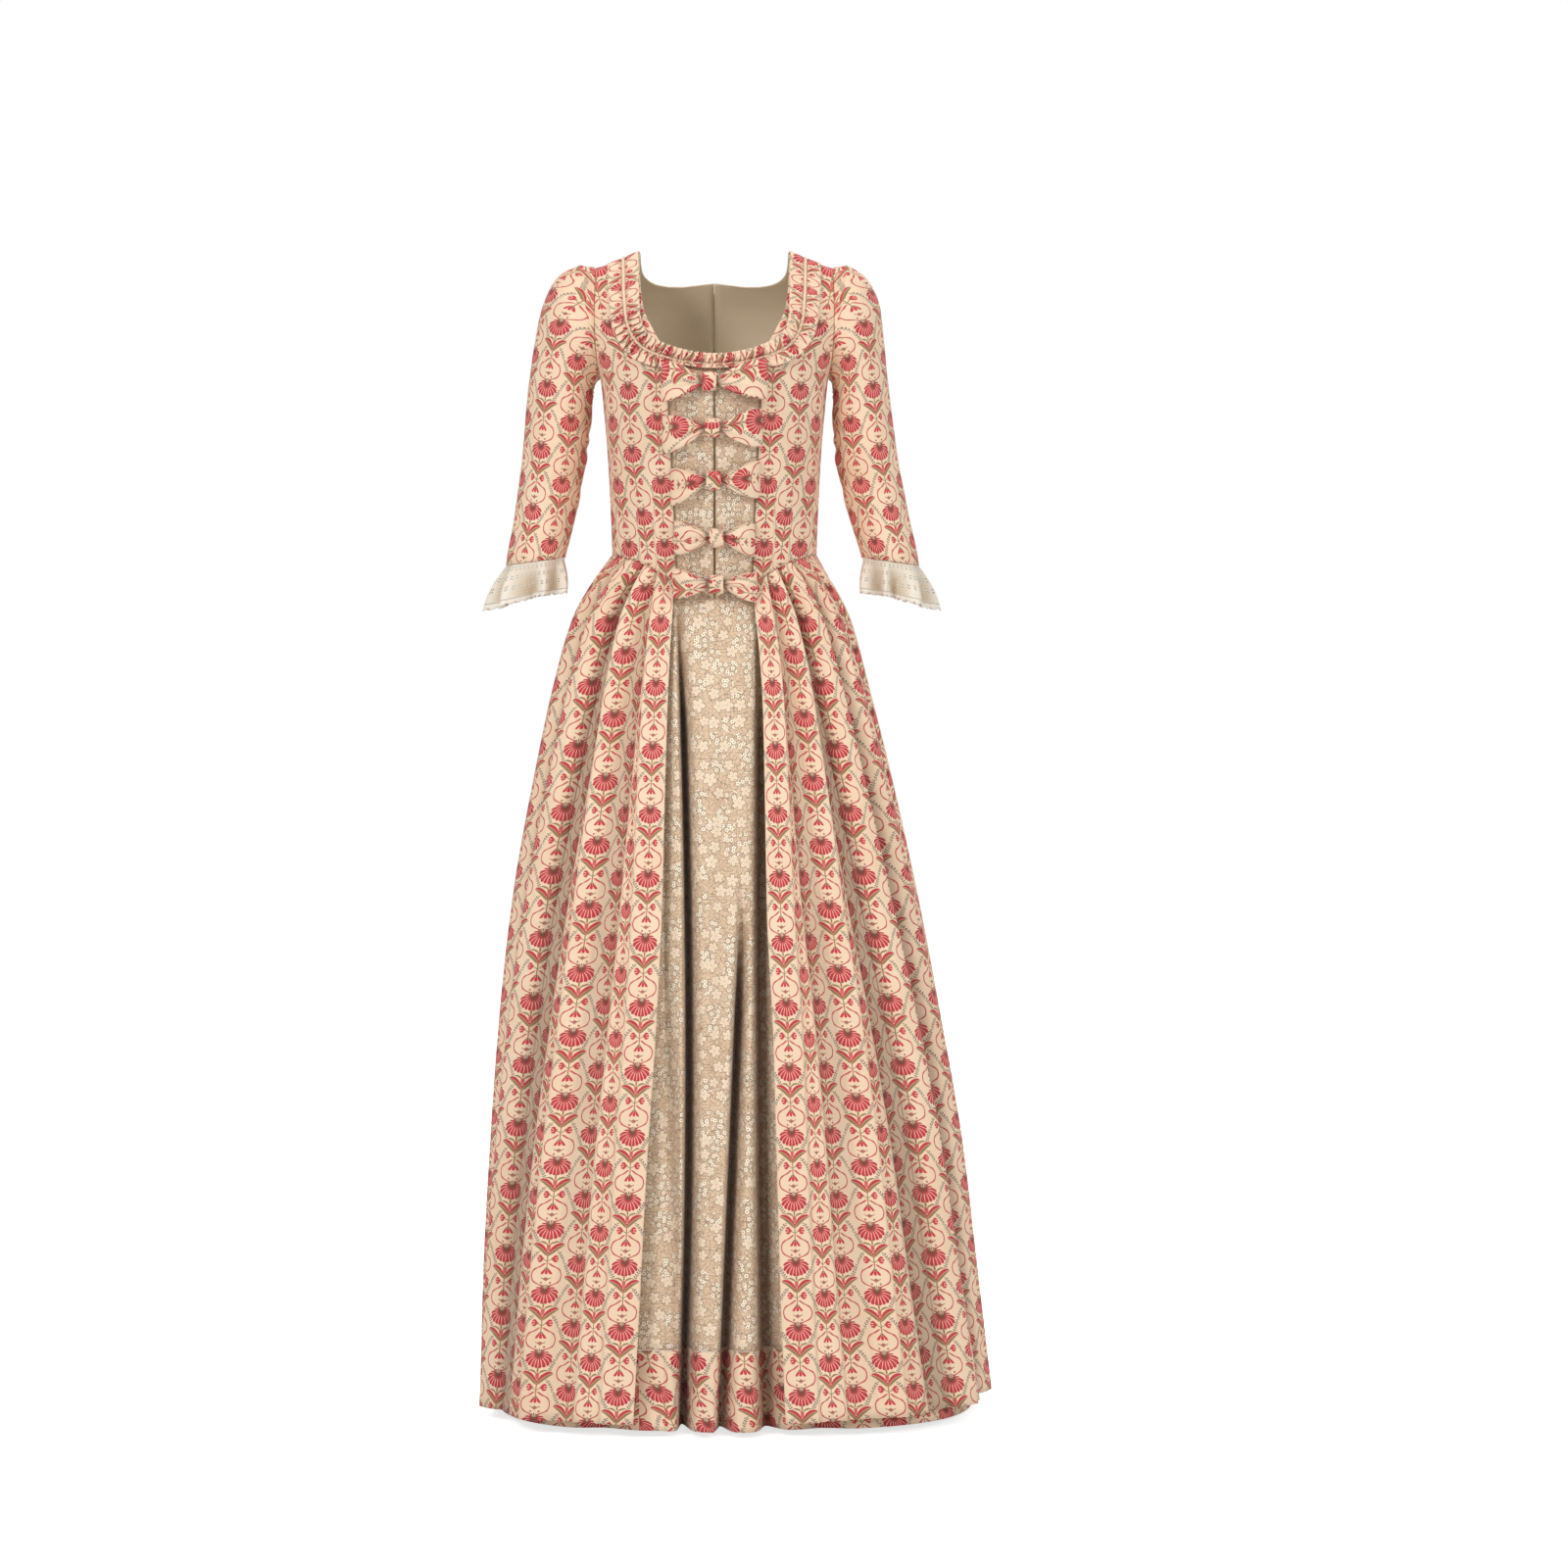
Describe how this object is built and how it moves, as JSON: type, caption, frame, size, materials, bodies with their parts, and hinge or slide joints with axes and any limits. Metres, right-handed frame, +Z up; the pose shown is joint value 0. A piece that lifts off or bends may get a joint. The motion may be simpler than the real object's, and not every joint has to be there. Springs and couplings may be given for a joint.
{
  "type": "robe a la francaise",
  "caption": "Open gown with fitted bodice, bowed stomacher, elbow sleeves with lace ruffles and a pleated sack back, over a petticoat.",
  "frame": {"origin": "between the wearer's shoulders, level with the shoulder seams beside the neck, in the plane of the arms", "axes": "+Z up, -Y towards the front of the robe, +X towards the wearer's left, on the right as it is seen from the front"},
  "size_m": [0.6308, 0.712, 1.4037],
  "materials": {
    "printed_cotton": "cream cotton printed in red, matt",
    "flowered_cotton": "tan cotton printed with small flowers, matt",
    "lace": "cream cotton eyelet lace, matt"
  },
  "bodies": {
    "root": {"bodice_front_left": "printed_cotton", "bodice_front_right": "printed_cotton", "bodice_back_left": "printed_cotton", "bodice_back_right": "printed_cotton", "stomacher_left": "flowered_cotton", "stomacher_right": "flowered_cotton", "sleeve_left": "printed_cotton", "sleeve_right": "printed_cotton", "cuff_ruffle_left": "lace", "cuff_ruffle_right": "lace", "skirt_front_left": "printed_cotton", "skirt_front_right": "printed_cotton", "skirt_side_left": "printed_cotton", "skirt_side_right": "printed_cotton", "sack_back": "printed_cotton", "petticoat": "flowered_cotton", "petticoat_hem_band": "printed_cotton", "neck_ruching": "printed_cotton", "bow_1_knot": "printed_cotton", "bow_1_wing_left": "printed_cotton", "bow_1_wing_right": "printed_cotton", "bow_2_knot": "printed_cotton", "bow_2_wing_left": "printed_cotton", "bow_2_wing_right": "printed_cotton", "bow_3_knot": "printed_cotton", "bow_3_wing_left": "printed_cotton", "bow_3_wing_right": "printed_cotton", "bow_4_knot": "printed_cotton", "bow_4_wing_left": "printed_cotton", "bow_4_wing_right": "printed_cotton", "bow_5_knot": "printed_cotton", "bow_5_wing_left": "printed_cotton", "bow_5_wing_right": "printed_cotton"}
  },
  "joints": []
}
